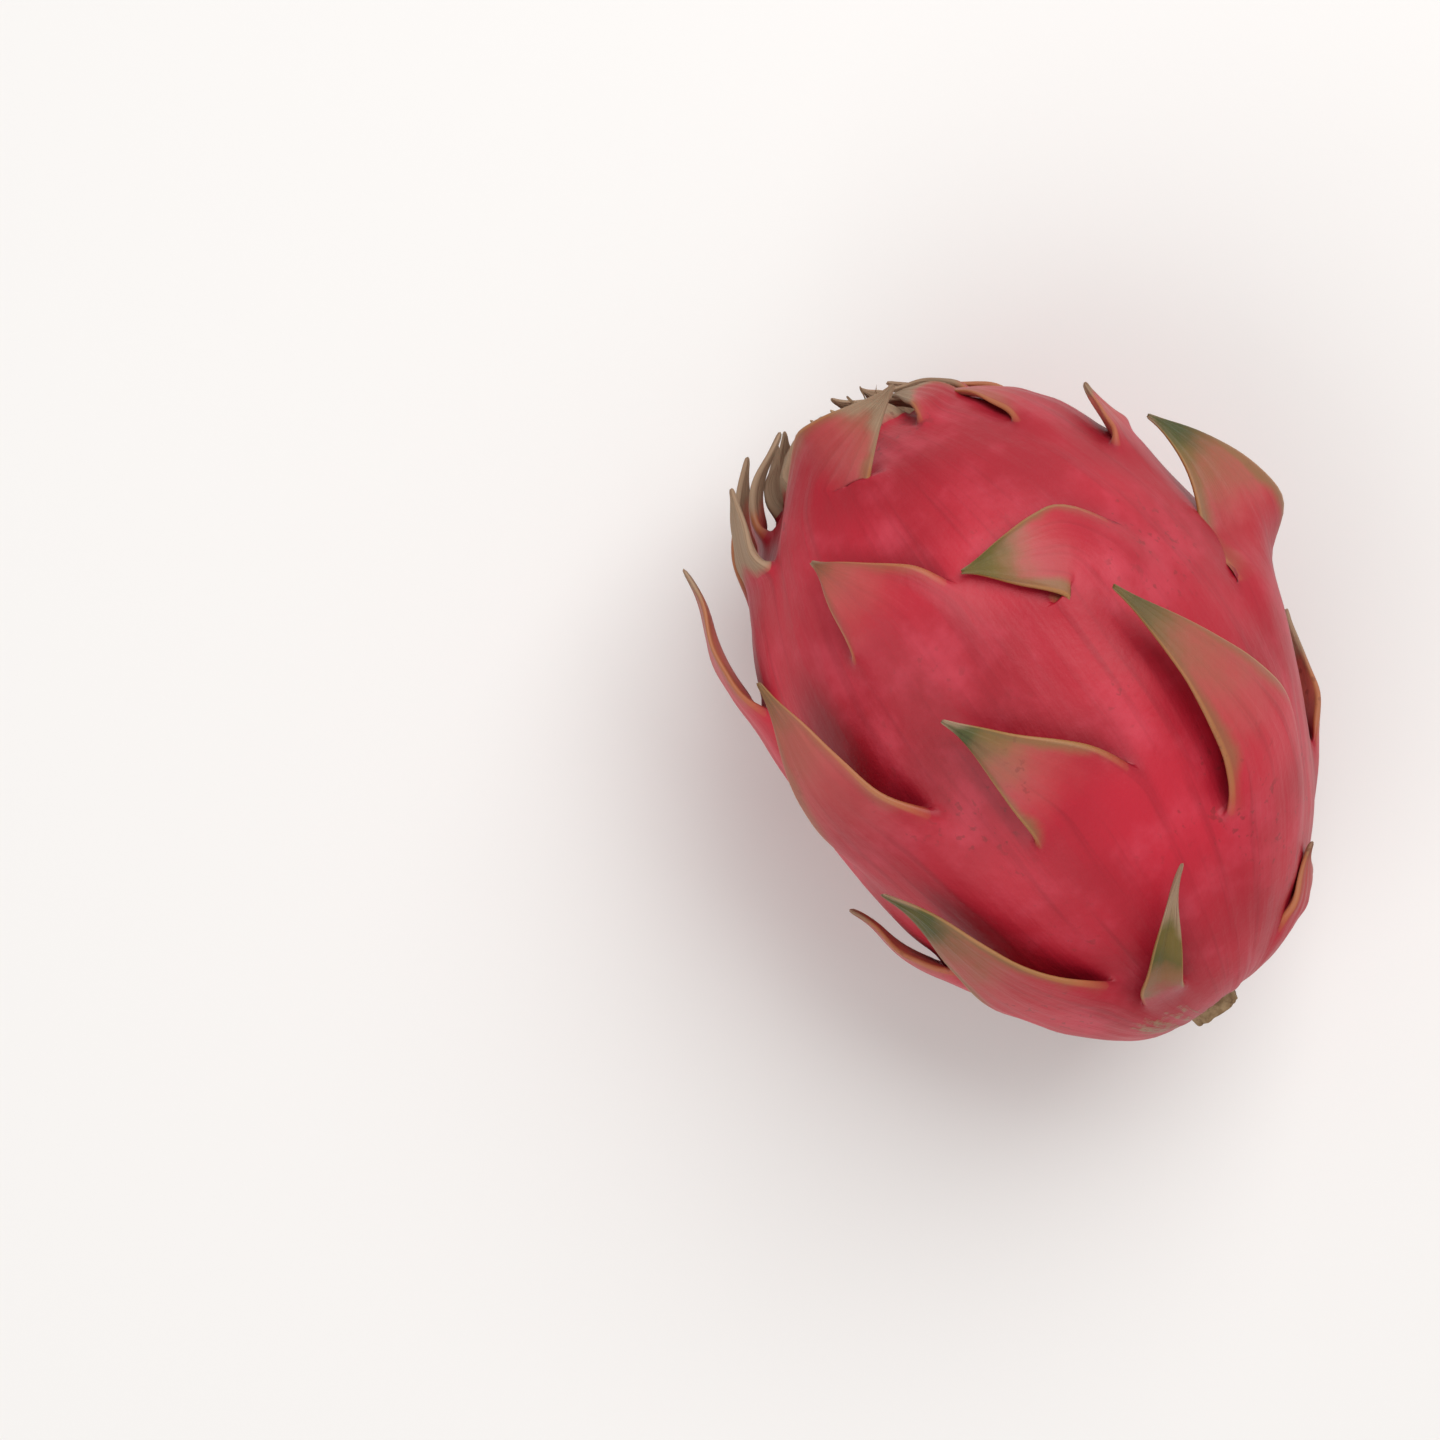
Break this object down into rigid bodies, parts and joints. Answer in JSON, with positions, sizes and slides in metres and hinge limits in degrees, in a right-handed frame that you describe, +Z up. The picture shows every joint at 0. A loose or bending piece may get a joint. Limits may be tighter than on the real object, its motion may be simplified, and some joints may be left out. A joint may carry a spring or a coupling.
{
  "type": "dragon fruit",
  "caption": "Whole dragon fruit lying on its side: an oval fruit with leaf-like scales that run towards a dipped blossom end, and a short stem scar.",
  "frame": {"origin": "on the resting plane, under the middle of the bounding box", "axes": "+Z up, +X along the fruit from its stem end to its blossom end"},
  "size_m": [0.1204, 0.0962, 0.0841],
  "materials": {
    "rind": "waxy satin fruit rind, crimson with olive-green scale tips"
  },
  "bodies": {
    "root": {"dragon_fruit": "rind"}
  },
  "joints": []
}
